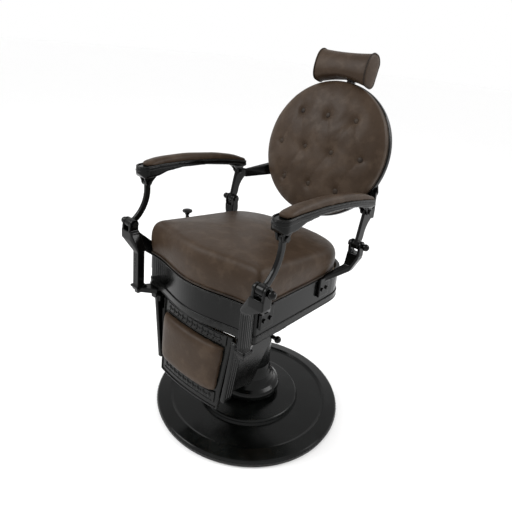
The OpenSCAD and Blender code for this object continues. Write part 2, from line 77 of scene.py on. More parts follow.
# %% Camera
AZIMUTH, DIP, ROLL = (math.radians(a) for a in (38.883, 19.321, 6.02))
DISTANCE, EYE_HEIGHT = 1.549, 1.31
sight = Vector((-math.sin(AZIMUTH) * math.cos(DIP), math.cos(AZIMUTH) * math.cos(DIP), -math.sin(DIP)))
level = Vector((math.cos(AZIMUTH), math.sin(AZIMUTH), 0))
upright = level.cross(sight)
across = level * math.cos(ROLL) + upright * math.sin(ROLL)
above = upright * math.cos(ROLL) - level * math.sin(ROLL)
turn = Matrix((across, above, -sight)).transposed().to_4x4()
camera = bpy.data.objects.new("camera", bpy.data.cameras.new("camera"))
camera.matrix_world = Matrix.Translation(
    (DISTANCE * math.sin(AZIMUTH), -DISTANCE * math.cos(AZIMUTH), EYE_HEIGHT)) @ turn
camera.data.sensor_width, camera.data.lens = 36, 33.375
camera.data.shift_x, camera.data.shift_y = -0.0200, -0.0819
bpy.context.scene.collection.objects.link(camera)
bpy.context.scene.camera = camera

# %% [markdown]
# Black gloss shows nothing but what it reflects, so the light is mostly large
# and pale: a bright surround, one broad lamp over the left front and a weaker
# one behind. The floor is one pale sheet.

# %% Light and floor
world = bpy.data.worlds.new("studio")
world.use_nodes = True
world.node_tree.nodes["Background"].inputs["Color"].default_value = (1, 1, 1, 1)
world.node_tree.nodes["Background"].inputs["Strength"].default_value = 1.0
bpy.context.scene.world = world


def lamp(name, place, target, size, watts):
    """A square area lamp at place that faces target."""
    light = bpy.data.objects.new(name, bpy.data.lights.new(name, "AREA"))
    light.data.size, light.data.energy = size, watts
    way = Vector(target) - Vector(place)
    light.matrix_world = Matrix.Translation(place) @ way.to_track_quat("-Z", "Y").to_matrix().to_4x4()
    bpy.context.scene.collection.objects.link(light)


lamp("key", (-1.6, -1.8, 2.8), (0, 0, 0.7), 1.6, 60)
lamp("rim", (1.8, 1.6, 2.4), (0, 0, 0.8), 1.2, 35)
bpy.context.scene.view_settings.view_transform = "Standard"

# %% [markdown]
# A finish is a small graph of nodes. Writing shader maths as Python expressions
# keeps it readable, so one class wraps a socket and turns + - * into Math nodes,
# and another owns the material and makes every other node.


# %% Shader helpers
class Field:
    """A number that varies over a surface: arithmetic on it adds Math nodes."""

    def __init__(self, finish, socket):
        self.finish, self.socket = finish, socket

    def _math(self, operation, first, second):
        node = self.finish.node("Math", {"operation": operation}, {0: first, 1: second})
        return Field(self.finish, node.outputs[0])

    def __add__(self, other):
        return self._math("ADD", self, other)

    def __sub__(self, other):
        return self._math("SUBTRACT", self, other)

    def __mul__(self, other):
        return self._math("MULTIPLY", self, other)

    def __rsub__(self, other):
        return self._math("SUBTRACT", other, self)

    __radd__, __rmul__ = __add__, __mul__


class Finish:
    """A material around one Principled shader, with one method that makes any node."""

    def __init__(self, name, **constants):
        self.material = bpy.data.materials.new(name)
        self.material.use_nodes = True
        self.tree = self.material.node_tree
        self.shader = self.tree.nodes["Principled BSDF"]
        for socket, value in constants.items():
            self.shader.inputs[socket.replace("_", " ")].default_value = value
        coordinates = self.node("TexCoord")
        self.place = coordinates.outputs["Object"]

    def node(self, kind, settings=None, values=None):
        made = self.tree.nodes.new("ShaderNode" + kind)
        for key, value in (settings or {}).items():
            setattr(made, key, value)
        for key, value in (values or {}).items():
            self.feed(made.inputs[key], value)
        return made

    def feed(self, socket, value):
        if isinstance(value, Field):
            value = value.socket
        if isinstance(value, bpy.types.NodeSocket):
            self.tree.links.new(value, socket)
        else:
            socket.default_value = value

    def noise(self, scale, detail=3.0, roughness=0.55, stretch=(1, 1, 1)):
        """Cloudy field from 0 to 1, a feature about 1/scale metres across."""
        place = self.node("Mapping", None, {"Vector": self.place, "Scale": stretch}).outputs[0]
        made = self.node("TexNoise", None, {
            "Vector": place, "Scale": scale, "Detail": detail, "Roughness": roughness})
        return Field(self, made.outputs[0])

    def cells(self, scale):
        """Distance to the middle of the nearest cell, for pebbled grain."""
        made = self.node("TexVoronoi", None, {"Vector": self.place, "Scale": scale})
        return Field(self, made.outputs["Distance"])

    def step(self, field, low, high):
        """0 below low, 1 above high, smooth between."""
        made = self.node("MapRange", {"interpolation_type": "SMOOTHSTEP"},
                         {"Value": field, "From Min": low, "From Max": high})
        return Field(self, made.outputs[0])

    def mix(self, factor, first, second):
        """Colour between first and second."""
        made = self.node("Mix", {"data_type": "RGBA"}, {0: factor, 6: first, 7: second})
        return made.outputs[2]

    def set(self, colour=None, roughness=None, height=None, depth=0.0005, strength=0.5):
        if colour is not None:
            self.feed(self.shader.inputs["Base Color"], colour)
        if roughness is not None:
            self.feed(self.shader.inputs["Roughness"], roughness)
        if height is not None:
            bump = self.node("Bump", None, {"Height": height, "Distance": depth, "Strength": strength})
            self.feed(self.shader.inputs["Normal"], bump.outputs[0])
        return self.material


# %% [markdown]
# The castings wear a satin black stove enamel. Up close it is never one black:
# the skin has a faint orange peel, dust dulls it in clouds, and hands rub the
# proud edges until grey iron shows. Pointiness finds those edges.


# %% Enamel on cast iron
def enamel(name, black, dust, gloss, wear):
    """Black enamel: dust clouds, orange peel, and rubbed edges where wear is above 0."""
    f = Finish(name, IOR=1.24, Coat_Weight=0.03, Coat_Roughness=0.08)
    clouds = f.step(f.noise(9, 5), 0.42, 0.72)
    specks = f.step(f.noise(260, 2), 0.66, 0.74)
    colour = f.mix(clouds * 0.55, black, dust)
    edges = Field(f, f.node("NewGeometry").outputs["Pointiness"])
    rubbed = f.step(edges + (f.noise(60, 4) - 0.5) * 0.10, 0.545, 0.60) * wear
    colour = f.mix(rubbed, colour, (0.022, 0.022, 0.021, 1))
    peel = f.noise(420, 2) * 0.5 + f.noise(120, 3) * 0.5 + specks * 0.15
    return f.set(colour, gloss + clouds * 0.14 + rubbed * 0.1 + specks * 0.1, peel, 0.0004, 0.30)


FINISH = {
    "enamel": enamel("enamel", (0.0010, 0.0011, 0.0010, 1), (0.0045, 0.0048, 0.0044, 1), 0.13, 0.30),
    "base_enamel": enamel("base_enamel", (0.0012, 0.0014, 0.0013, 1),
                          (0.0060, 0.0070, 0.0066, 1), 0.15, 0.12),
}

# %% [markdown]
# The leather is a distressed dark brown. Three scales matter: broad patches
# where the dye has faded, scuffs a centimetre long, and the pebble of the grain
# itself, which is only felt as a break in the sheen.


# %% Leather
def hide(name, dark, pale, scuff):
    """Distressed leather: faded patches, scuffs, grain and fine creases."""
    f = Finish(name, IOR=1.22, Sheen_Weight=0.0, Sheen_Roughness=0.5)
    faded = f.step(f.noise(5.5, 6, 0.62), 0.35, 0.70)
    patches = f.step(f.noise(22, 5, 0.6), 0.48, 0.66)
    scratched = f.step(f.noise(70, 4, 0.7, (1.0, 0.35, 0.6)), 0.63, 0.72)
    colour = f.mix(faded, dark, pale)
    colour = f.mix(patches * 0.35, colour, scuff)
    colour = f.mix(scratched * 0.22, colour, (0.030, 0.020, 0.014, 1))
    grain = f.cells(620) * 0.6 + f.noise(300, 3) * 0.5
    creases = f.noise(45, 6, 0.65, (1.0, 0.5, 1.4)) * 1.2
    return f.set(colour, 0.40 + faded * 0.12 + scratched * 0.08 - patches * 0.05,
                 grain * 0.5 + creases, 0.0016, 0.35)


FINISH["leather"] = hide("leather", (0.033, 0.0205, 0.0125, 1), (0.048, 0.0315, 0.0205, 1),
                         (0.066, 0.045, 0.030, 1))
FINISH["welt"] = hide("welt", (0.014, 0.009, 0.006, 1), (0.030, 0.020, 0.013, 1),
                      (0.045, 0.031, 0.020, 1))


# %% Machined steel, rubber, bronze and plywood
def metal(name, colour, shade, gloss, stretch):
    """Turned or ground metal: fine lines along one axis break the reflection."""
    f = Finish(name, Metallic=1.0)
    lines = f.noise(300, 3, 0.6, stretch)
    return f.set(f.mix(f.step(f.noise(30, 4), 0.4, 0.7) * 0.5, colour, shade),
                 gloss + lines * 0.16, lines, 0.0001, 0.4)


FINISH["steel"] = metal("steel", (0.46, 0.46, 0.47, 1), (0.30, 0.30, 0.31, 1), 0.24, (1, 1, 0.05))
FINISH["bronze"] = metal("bronze", (0.56, 0.40, 0.20, 1), (0.36, 0.25, 0.12, 1), 0.28, (1, 1, 0.1))


def rubber():
    f = Finish("rubber", IOR=1.5)
    dust = f.step(f.noise(40, 4), 0.45, 0.7)
    return f.set(f.mix(dust, (0.012, 0.012, 0.012, 1), (0.035, 0.034, 0.032, 1)),
                 0.7 + dust * 0.2, f.noise(500, 2), 0.0003, 0.5)


def plywood():
    """Birch face veneer: long soft figure along X, with darker pores."""
    f = Finish("plywood", IOR=1.45)
    figure = f.noise(14, 5, 0.6, (0.15, 1, 1))
    pores = f.step(f.noise(160, 3, 0.6, (0.06, 1, 1)), 0.58, 0.7)
    colour = f.mix(figure, (0.46, 0.31, 0.17, 1), (0.62, 0.46, 0.28, 1))
    return f.set(f.mix(pores * 0.4, colour, (0.25, 0.15, 0.08, 1)), 0.62 + pores * 0.1, pores, 0.0002)


def floor_paint():
    f = Finish("floor_paint", IOR=1.4)
    cloud = f.noise(1.5, 3)
    return f.set(f.mix(cloud, (0.985, 0.985, 0.985, 1), (0.995, 0.995, 0.995, 1)), 0.75 + cloud * 0.05)


FINISH["rubber"], FINISH["plywood"], FINISH["floor"] = rubber(), plywood(), floor_paint()
print("finishes", sorted(FINISH))

# %% [markdown]
# Every new piece is a sheet of points over two parameters. The helper below
# joins such a sheet into quads, closes its seam and poles by merging doubles,
# and turns all faces outwards.


# %% Surface helpers
def skin(name, points, finish, wrap_rows=False, wrap_columns=True):
    """Mesh from an array of points [row, column, xyz]: quads join neighbouring rows and columns."""
    rows, columns = points.shape[:2]
    index = np.arange(rows * columns).reshape(rows, columns)
    below = np.roll(index, -1, 0) if wrap_rows else index[1:]
    here = index if wrap_rows else index[:-1]
    quads = np.stack([here, np.roll(here, -1, 1), np.roll(below, -1, 1), below], -1)
    if not wrap_columns:
        quads = quads[:, :-1]
    mesh = bpy.data.meshes.new(name)
    mesh.from_pydata(points.reshape(-1, 3), [], quads.reshape(-1, 4).tolist())
    work = bmesh.new()
    work.from_mesh(mesh)
    bmesh.ops.remove_doubles(work, verts=work.verts, dist=1e-6)
    bmesh.ops.recalc_face_normals(work, faces=work.faces)
    work.to_mesh(mesh)
    work.free()
    mesh.shade_smooth()
    mesh.materials.append(FINISH[finish])
    piece = bpy.data.objects.new(name, mesh)
    bpy.context.scene.collection.objects.link(piece)
    return piece


def tube(name, path, radius, finish, upward, closed=False, sides=12):
    """Round bead carried along a path. upward is a direction that the path never takes."""
    ahead = np.roll(path, -1, 0) - np.roll(path, 1, 0)
    if not closed:
        ahead[0], ahead[-1] = path[1] - path[0], path[-1] - path[-2]
    ahead /= np.linalg.norm(ahead, axis=1, keepdims=True)
    side = np.cross(ahead, upward)
    side /= np.linalg.norm(side, axis=1, keepdims=True)
    lift = np.cross(side, ahead)
    angle = np.linspace(0, 2 * np.pi, sides, endpoint=False)[None, :, None]
    wide = np.full(len(path), radius)
    if not closed:
        path = np.concatenate([path[:1], path, path[-1:]])
        side = np.concatenate([side[:1], side, side[-1:]])
        lift = np.concatenate([lift[:1], lift, lift[-1:]])
        wide = np.concatenate([[0], wide, [0]])
    ring = side[:, None] * np.cos(angle) + lift[:, None] * np.sin(angle)
    return skin(name, path[:, None] + wide[:, None, None] * ring, finish, wrap_rows=closed)


def join(name, pieces):
    """Several loose pieces become one object."""
    work = bmesh.new()
    for piece in pieces:
        work.from_mesh(piece.data)
    mesh = bpy.data.meshes.new(name)
    work.to_mesh(mesh)
    work.free()
    mesh.materials.append(pieces[0].data.materials[0])
    for piece in pieces:
        bpy.data.objects.remove(piece)
    joined = bpy.data.objects.new(name, mesh)
    bpy.context.scene.collection.objects.link(joined)
    return joined


def mirrored(name, piece):
    """The same piece on the other side of the chair."""
    mesh = piece.data.copy()
    mesh.transform(Matrix.Scale(-1, 4, (1, 0, 0)))
    mesh.flip_normals()
    twin = bpy.data.objects.new(name, mesh)
    bpy.context.scene.collection.objects.link(twin)
    return twin


def fit_out(piece, body, slot, *nodes):
    """Rides on a body, and stands for CAD nodes if any are given; slot is not used."""
    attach(piece, body)
    if nodes:
        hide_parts(*nodes)
    return piece


floor = skin("floor", np.array([[(-40, -40, 0), (40, -40, 0)], [(-40, 40, 0), (40, 40, 0)]], float) -
             np.array([0, 0, 0.0002]), "floor", wrap_columns=False)

# %% [markdown]
# Sand castings have no sharp edges. Each casting of the frame is copied, turned
# into an even skin of small faces and relaxed a little, which rolls every edge
# over by a millimetre or two and melts the plates into one another. A bevel
# would need clean edges, which a boolean shape doesn't have.


# %% Castings with soft edges
def soften(node, voxel, rounds, finish="enamel"):
    """Copy of a CAD node as an even skin with rounded edges; it stands for that node."""
    mesh = frame["nodes"][node].data.copy()
    work = bmesh.new()
    work.from_mesh(mesh)
    bmesh.ops.remove_doubles(work, verts=work.verts, dist=1e-5)
    work.to_mesh(mesh)
    work.free()
    casting = bpy.data.objects.new(node + "_casting", mesh)
    bpy.context.scene.collection.objects.link(casting)
    bpy.context.view_layer.objects.active = casting
    remesh = casting.modifiers.new("even_skin", "REMESH")
    remesh.mode, remesh.voxel_size = "VOXEL", voxel
    relax = casting.modifiers.new("relax", "SMOOTH")
    relax.factor, relax.iterations = 0.5, rounds
    bpy.context.view_layer.update()
    ready = bpy.data.meshes.new_from_object(casting.evaluated_get(bpy.context.evaluated_depsgraph_get()))
    casting.modifiers.clear()
    casting.data = ready
    ready.materials.clear()
    ready.materials.append(FINISH[finish])
    ready.shade_smooth()
    body = frame["nodes"][node]["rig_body"]
    fit_out(casting, body, "black_enamel", node)
    return casting


for side in ("left", "right"):
    soften(f"front_bracket_{side}", 0.0018, 5)
    soften(f"rear_bracket_{side}", 0.0018, 7)
    soften(f"back_bracket_{side}", 0.0018, 6)
    soften(f"side_leg_{side}", 0.0018, 4)
    soften(f"arm_{side}", 0.0024, 6)
    soften(f"front_post_{side}", 0.0018, 5)
soften("pump_lever", 0.0018, 6)
print("castings softened")

# %% Finishes of the nodes that stay
KEPT = {
    "base_enamel": ["base_plate", "pump_cover"],
    "rubber": ["base_gasket"],
    "steel": ["floor_plate", "cylinder_bolts", "gland_nut", "ram", "piston_head", "legrest_pins",
              "headrest_bar", "headrest_pivot"],
    "bronze": ["thrust_washer"],
    "plywood": ["seat_board"],
}
finish_of = {node: finish for finish, members in KEPT.items() for node in members}
for node, thing in frame["nodes"].items():
    thing.data.materials.clear()
    thing.data.materials.append(FINISH[finish_of.get(node, "enamel")])

# %% [markdown]
# The seat cushion drops into the bow-fronted ring. Its plan is the ring's: a
# cosine bow in front, straight sides and a superellipse behind. A side section
# is carried round that plan: up the wall, over a soft shoulder with a welt, and
# across a crowned top that is higher in front than behind.

# %% Seat plan
ring_low, ring_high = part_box("seat_ring")
RING_FLARE = 0.003
HALF_W = ring_high.x - RING_FLARE
BOW = 0.036
BOW_HALF = 0.228
SIDE_FRONT = -(ring_low.y + RING_FLARE + BOW)
RING_TOP, RING_FOOT = ring_high.z, ring_low.z


def seat_plan(inset, side_end, depth, power, count=(120, 150)):
    """Closed plan [n, xy]: bow (1 + cos) / 2 across the front, superellipse round the back."""
    front_x = np.linspace(-1, 1, count[0]) * (HALF_W - inset)
    bow = BOW * 0.5 * (1 + np.cos(np.pi * np.clip(front_x / BOW_HALF, -1, 1)))
    front = np.stack([front_x, -SIDE_FRONT + inset - bow], -1)
    # A short arc rounds the two front corners
    reach = np.clip((np.abs(front_x) - (HALF_W - inset - 0.012)) / 0.012, 0, 1)
    front[:, 1] += 0.012 * (1 - np.sqrt(1 - reach ** 2))
    angle = np.linspace(0, np.pi, count[1])
    c, s = np.cos(angle), np.sin(angle)
    back = np.stack([(HALF_W - inset) * np.sign(c) * np.abs(c) ** (2 / power),
                     side_end + (depth - inset) * s ** (2 / power)], -1)
    left = np.linspace(front[-1], back[0], 60)[1:-1]
    return np.concatenate([front, left, back, (left * [-1, 1])[::-1]])


def seat_top(y):
    """Height of the cushion's rim: it falls in a straight line from front to back."""
    front_z, back_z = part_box("seat_cushion")[1].z + 0.002, RING_TOP + 0.074
    return front_z + (back_z - front_z) * (y + 0.35) / 0.57


# %% Seat cushion
def seat_cushion():
    """Rows run from the middle of the underside, up the wall and over to the middle of the top."""
    # Each pair is (inset in metres, share of the height)
    section = [(0.012, 0.0), (0.004, 0.0), (0.001, 0.04), (-0.002, 0.25), (-0.0035, 0.45),
               (-0.0025, 0.62), (0.0, 0.74), (0.004, 0.84), (0.009, 0.905), (0.0145, 0.945),
               (0.0175, 0.962), (0.0195, 0.966), (0.0225, 0.980), (0.030, 0.990), (0.042, 1.0)]
    section = np.array(section)
    fine = np.linspace(0, len(section) - 1, 90)
    inset = np.interp(fine, np.arange(len(section)), section[:, 0])
    share = np.interp(fine, np.arange(len(section)), section[:, 1])
    low = RING_TOP + 0.0008
    rows = []
    for i, h in zip(inset, share):
        plan = seat_plan(i, 0.030, 0.175, 2.5)
        rows.append(np.c_[plan, low + (seat_top(plan[:, 1]) - low) * h])
    edge, foot = rows[-1], rows[0]
    middle = np.array([0, -0.03])
    for t in np.linspace(0.03, 1, 60):
        plan = edge[:, :2] * (1 - t) + middle * t
        crown = 0.010 * (1 - (1 - t) ** 2.2)
        rows.append(np.c_[plan, seat_top(plan[:, 1]) + crown])
    under = [np.c_[foot[:, :2] * (1 - t) + middle * t, foot[:, 2]] for t in np.linspace(1, 0.1, 8)]
    return skin("seat_cushion_leather", np.array(under + rows), "leather")


cushion = seat_cushion()
print("seat cushion", len(cushion.data.polygons), "faces")

# %% [markdown]
# A stuffed cushion isn't as even as a formula. A cloth simulation gives it the
# slow, uneven swell of real padding: an even skin is blown up softly from
# inside, with gravity off. The whole move is then scaled down until its largest
# part is a few millimetres, so what stays is the swell's pattern and not its size.


# %% Cloth simulation
def stuff(piece, voxel, pressure, cap, frames=20):
    """Remeshes a piece evenly, inflates it as cloth, and scales the swell down to cap metres at most."""
    scene = bpy.context.scene
    bpy.context.view_layer.objects.active = piece
    even = piece.modifiers.new("even_skin", "REMESH")
    even.mode, even.voxel_size = "VOXEL", voxel
    bpy.context.view_layer.update()
    flat = bpy.data.meshes.new_from_object(piece.evaluated_get(bpy.context.evaluated_depsgraph_get()))
    piece.modifiers.clear()
    piece.data = flat
    start = np.empty(len(flat.vertices) * 3)
    flat.vertices.foreach_get("co", start)
    cloth = piece.modifiers.new("swell", "CLOTH")
    cloth.settings.quality = 4
    cloth.settings.use_pressure = True
    cloth.settings.uniform_pressure_force = pressure
    cloth.settings.effector_weights.gravity = 0
    cloth.settings.tension_stiffness = cloth.settings.compression_stiffness = 12
    cloth.settings.bending_stiffness = 0.6
    cloth.point_cache.frame_start, cloth.point_cache.frame_end = 1, frames
    for moment in range(1, frames + 1):
        scene.frame_set(moment)
    solved = piece.evaluated_get(bpy.context.evaluated_depsgraph_get()).to_mesh()
    end = np.empty_like(start)
    solved.vertices.foreach_get("co", end)
    piece.modifiers.clear()
    scene.frame_set(1)
    move = (end - start).reshape(-1, 3)
    move -= move.mean(0)
    size = np.linalg.norm(move, axis=1, keepdims=True)
    move *= min(1, cap / max(float(size.max()), 1e-9))
    flat.vertices.foreach_set("co", (start.reshape(-1, 3) + move).ravel())
    print(piece.name, "swelled by at most", round(float(size.max()), 4), "m, scaled to", cap)
    flat.materials.clear()
    flat.materials.append(FINISH["leather"])
    flat.shade_smooth()
    return piece


def smooth_out(piece, rounds):
    """Relaxes a mesh: voxel steps and creases sharper than leather fade."""
    relax = piece.modifiers.new("relax", "SMOOTH")
    relax.factor, relax.iterations = 0.5, rounds
    bpy.context.view_layer.update()
    ready = bpy.data.meshes.new_from_object(piece.evaluated_get(bpy.context.evaluated_depsgraph_get()))
    piece.modifiers.clear()
    piece.data = ready
    ready.shade_smooth()
    return piece


smooth_out(stuff(cushion, 0.005, 4.0, 0.004), 3)
fit_out(cushion, "seat", "leather", "seat_cushion")

# %% Welts of the seat
low = RING_TOP + 0.0008


def seat_line(inset, share, thickness, name, finish):
    """Bead along the cushion's plan at a share of its height."""
    plan = seat_plan(inset, 0.030, 0.175, 2.5)
    path = np.c_[plan, low + (seat_top(plan[:, 1]) - low) * share]
    return tube(name, path, thickness, finish, (0, 0, 1), closed=True, sides=8)


fit_out(seat_line(0.0005, 0.055, 0.0035, "seat_foot_welt", "welt"), "seat", "leather")

# %% [markdown]
# The seat ring is a casting with a rolled bead along its top and a stepped
# skirt below. The beads catch long thin highlights, so they are worth real
# geometry: tubes carried round the ring's own plan.


# %% Beads of the seat ring
def ring_line(inset, height, thickness, name):
    """Bead round the ring at a height: the ring's back is a squarer superellipse."""
    plan = seat_plan(inset, 0.060, 0.160, 3.2)
    return tube(name, np.c_[plan, np.full(len(plan), height)], thickness, "enamel", (0, 0, 1),
                closed=True, sides=8)


fit_out(ring_line(0.0005, RING_TOP - 0.0025, 0.0028, "ring_top_bead"), "seat", "black_enamel")
fit_out(ring_line(-0.0005, RING_FOOT + 0.0225, 0.0032, "ring_skirt_bead"), "seat", "black_enamel")
fit_out(ring_line(-0.0022, RING_FOOT + 0.0022, 0.0022, "ring_foot_bead"), "seat", "black_enamel")

# %% [markdown]
# The back is a thick disc that leans. Its frame comes from the headrest's
# joints: the bar slides along the back, and the bolster's pivot stands a known
# distance up and behind the disc's middle.

# %% Frame of the back
up_back = np.array(joints["headrest_height"]["axis"], float)
behind = np.array([0, up_back[2], -up_back[1]])
PIVOT_BEHIND, PIVOT_UP = 0.060, 0.300
back_middle = (np.array(joints["headrest_tilt"]["pos_m"], float)
               - PIVOT_BEHIND * behind - PIVOT_UP * up_back)
BACK_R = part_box("back_shell")[1].x
print("back", back_middle.round(3), "radius", round(BACK_R, 3))


def on_back(x, depth, height):
    """Points from the back's own frame: x across, depth backwards, height up the back."""
    x, depth, height = np.broadcast_arrays(x, depth, height)
    return (back_middle + x[..., None] * np.array([1.0, 0, 0]) + depth[..., None] * behind
            + height[..., None] * up_back)


# %% [markdown]
# Buttons are drawn through the padding to the board, so each one sits in a
# funnel. Between neighbours the leather folds into shallow pleats. The front is
# one height field: a full crown, minus a funnel at each button, minus pleats
# along the diagonals of the diamond pattern.

# %% Tufted back cushion
PITCH, ROW, DROP = 0.118, 0.130, 0.014
BUTTONS = np.array([(k * PITCH, ROW - DROP) for k in (-1, 0, 1)]
                   + [(k * PITCH, -DROP) for k in (-1.5, -0.5, 0.5, 1.5)]
                   + [(k * PITCH, -ROW - DROP) for k in (-1, 0, 1)])


def crown(x, z):
    """Padding in front of the disc's edge plane: 46 mm in the middle, full near the rim."""
    reach = np.clip(np.hypot(x, z) / BACK_R, 0, 1)
    return 0.046 * (1 - reach ** 3.2) ** 0.62


def pleat(x, z, first, second):
    """Groove along a line between two buttons, deepest at its ends."""
    along = second - first
    length = np.hypot(*along)
    t = ((x - first[0]) * along[0] + (z - first[1]) * along[1]) / length ** 2
    off = (x - first[0]) * along[1] / length - (z - first[1]) * along[0] / length
    ends = np.clip(t, 0, 1) * (1 - np.clip(t, 0, 1)) * 4
    return np.exp(-(off / 0.0065) ** 2) * (1 - 0.65 * ends) * ((t > -0.02) & (t < 1.02))


def padding(x, z):
    """Height of the leather: crown, less a wide hollow and a tight funnel at each button, less pleats."""
    height = crown(x, z)
    for bx, bz in BUTTONS:
        reach = np.hypot(x - bx, z - bz)
        edge = np.clip((BACK_R - np.hypot(bx, bz)) / 0.09, 0.55, 1)
        height = height - edge * (0.0075 * np.exp(-(reach / 0.040) ** 2)
                                  + 0.0085 * np.exp(-(reach / 0.0145) ** 2))
    for i, first in enumerate(BUTTONS):
        for second in BUTTONS[i + 1:]:
            if 0.10 < np.hypot(*(second - first)) < 0.16 and abs(second[1] - first[1]) > 0.05:
                height = height - 0.0013 * pleat(x, z, first, second)
    # Pleats that run from the outer buttons to the rim and fade
    for bx, bz in BUTTONS:
        reach = np.hypot(bx, bz)
        if reach > 0.09:
            rim = np.array([bx, bz]) * (BACK_R - 0.012) / reach
            height = height - 0.0009 * pleat(x, z, np.array([bx, bz]), rim)
    slack = (np.sin(x * 61 + 2.1 * np.sin(z * 37)) * np.sin(z * 53 + 1.7 * np.sin(x * 41)))
    return height + 0.0009 * slack


def back_cushion():
    """Rows run out from the middle of the front, round the rim and in along the rear."""
    turns = np.linspace(0, 2 * np.pi, 420, endpoint=False)
    rows = []
    for reach in np.r_[0.0004, np.linspace(0.004, 0.970, 190)] * BACK_R:
        x, z = reach * np.cos(turns), reach * np.sin(turns)
        rows.append(on_back(x, -padding(x, z), z))
    front = 0.046 * (1 - 0.970 ** 3.2) ** 0.62
    for t in np.linspace(0.06, 1, 22):
        # The rim bulges a little and turns in to meet the shell
        reach = BACK_R * (0.970 + 0.016 * math.sin(math.pi * min(t * 1.05, 1)) ** 0.7)
        depth = -front + (front + 0.0195) * t
        rows.append(on_back(reach * np.cos(turns), depth, reach * np.sin(turns)))
    for reach in (0.9, 0.6, 0.3, 0.0004):
        rows.append(on_back(reach * BACK_R * np.cos(turns), 0.0195, reach * BACK_R * np.sin(turns)))
    return skin("back_cushion_leather", np.array(rows), "leather")


back_leather = fit_out(back_cushion(), "back", "leather", "back_cushion")
print("back cushion", len(back_leather.data.polygons), "faces")


# %% Buttons and the welt of the back
def back_button(x, z):
    """Covered button: a flat-topped dome 25 mm across, sunk to its edge."""
    seat = float(padding(np.array(x), np.array(z)))
    angle = np.linspace(0, 2 * np.pi, 28, endpoint=False)
    profile = [(0.0002, -0.001), (0.0105, -0.001), (0.0124, 0.0016), (0.0127, 0.0034), (0.0113, 0.0054),
               (0.0083, 0.0068), (0.0043, 0.0075), (0.0002, 0.0077)]
    rows = [on_back(x + r * np.cos(angle), -(seat + h), z + r * np.sin(angle)) for r, h in profile]
    return skin("button", np.array(rows), "welt")


buttons = join("back_buttons_leather", [back_button(x, z) for x, z in BUTTONS])
buttons.data.shade_smooth()
fit_out(buttons, "back", "leather", "back_buttons")


def back_circle(reach, depth, thickness, name, finish):
    """Bead round the disc of the back."""
    turns = np.linspace(0, 2 * np.pi, 240, endpoint=False)
    path = on_back(reach * np.cos(turns), depth, reach * np.sin(turns))
    return tube(name, path, thickness, finish, behind, closed=True, sides=8)


fit_out(back_circle(BACK_R - 0.0058, 0.0150, 0.0032, "back_welt", "welt"), "back", "leather")
fit_out(back_circle(BACK_R - 0.004, 0.0395, 0.0030, "shell_bead", "enamel"), "back", "black_enamel")

# %% [markdown]
# The headrest is a saddle: higher at its ends than in its middle, with a welt
# round each flat end. Its section is a superellipse whose height follows the
# saddle, hollowed underneath where it clears the top of the back.

# %% Headrest bolster
BOLSTER_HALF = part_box("headrest_bolster")[1].x
BOLSTER_MID, BOLSTER_DEEP, BOLSTER_TALL = (-0.006, 0.299), 0.045, 0.061


def bolster_section(x, scale=1.0, turns=160):
    """Closed ring of the bolster at x: superellipse, saddle-shaped on top, flat against its board."""
    angle = np.linspace(0, 2 * np.pi, turns, endpoint=False)
    c, s = np.cos(angle), np.sin(angle)
    saddle = 0.006 * (abs(x) / BOLSTER_HALF) ** 2 - 0.005
    depth = BOLSTER_MID[0] + BOLSTER_DEEP * scale * np.sign(c) * np.abs(c) ** 0.82
    tall = (BOLSTER_TALL + np.where(s > 0, saddle, 0)) * scale
    height = BOLSTER_MID[1] + tall * np.sign(s) * np.abs(s) ** 0.82
    clear = math.sqrt(max((BACK_R + 0.007) ** 2 - x ** 2, 0))
    height = np.where(s < 0, clear + np.log1p(np.exp((height - clear) / 0.004)) * 0.004, height)
    return on_back(np.full(turns, x), np.minimum(depth, 0.0338), height)


def bolster():
    """Rows: a domed end, the saddle from end to end, and the other domed end."""
    end = [(1.000, 1.0), (1.012, 0.985), (1.020, 0.96), (1.030, 0.8),
           (1.038, 0.5), (1.040, 0.2), (1.040, 0.002)]
    left = [bolster_section(-BOLSTER_HALF * a * 0.962, s) for a, s in end[::-1]]
    body = [bolster_section(x) for x in np.linspace(-0.955, 0.955, 90) * BOLSTER_HALF]
    right = [bolster_section(BOLSTER_HALF * a * 0.962, s) for a, s in end]
    return skin("headrest_bolster_leather", np.array(left + body + right), "leather")


headrest = bolster()
smooth_out(stuff(headrest, 0.004, 3.0, 0.003, 14), 2)
fit_out(headrest, "headrest", "leather", "headrest_bolster")
for sign, side in ((-1, "right"), (1, "left")):
    ring = bolster_section(sign * BOLSTER_HALF * 0.955, 1.012)
    fit_out(tube(f"bolster_welt_{side}", ring, 0.0028, "welt", (1, 0, 0), closed=True, sides=8),
            "headrest", "leather")

# %% [markdown]
# Each arm is a boat-shaped casting with a rolled lip, and its pad sits inside
# the lip. The pad's plan follows the casting's, with round ends, and its height
# is a crown whose edges drop steeply into the lip.

# %% Arms
arm_low, arm_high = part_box("arm_left")
ARM_X = (arm_low.x + arm_high.x) / 2
NOSE_R, TAIL_R = 0.028, 0.019
NOSE_Y, TAIL_Y = arm_low.y + NOSE_R, 0.171


def arm_width(y, nose_y, nose_r, tail_y, tail_r):
    """Half width of a plan with a straight taper and round ends."""
    t = np.clip((y - nose_y) / (tail_y - nose_y), 0, 1)
    straight = nose_r + (tail_r - nose_r) * t
    before = np.sqrt(np.clip(1 - (np.clip(nose_y - y, 0, None) / nose_r) ** 2, 0, 1))
    after = np.sqrt(np.clip(1 - (np.clip(y - tail_y, 0, None) / tail_r) ** 2, 0, 1))
    return straight * before * after


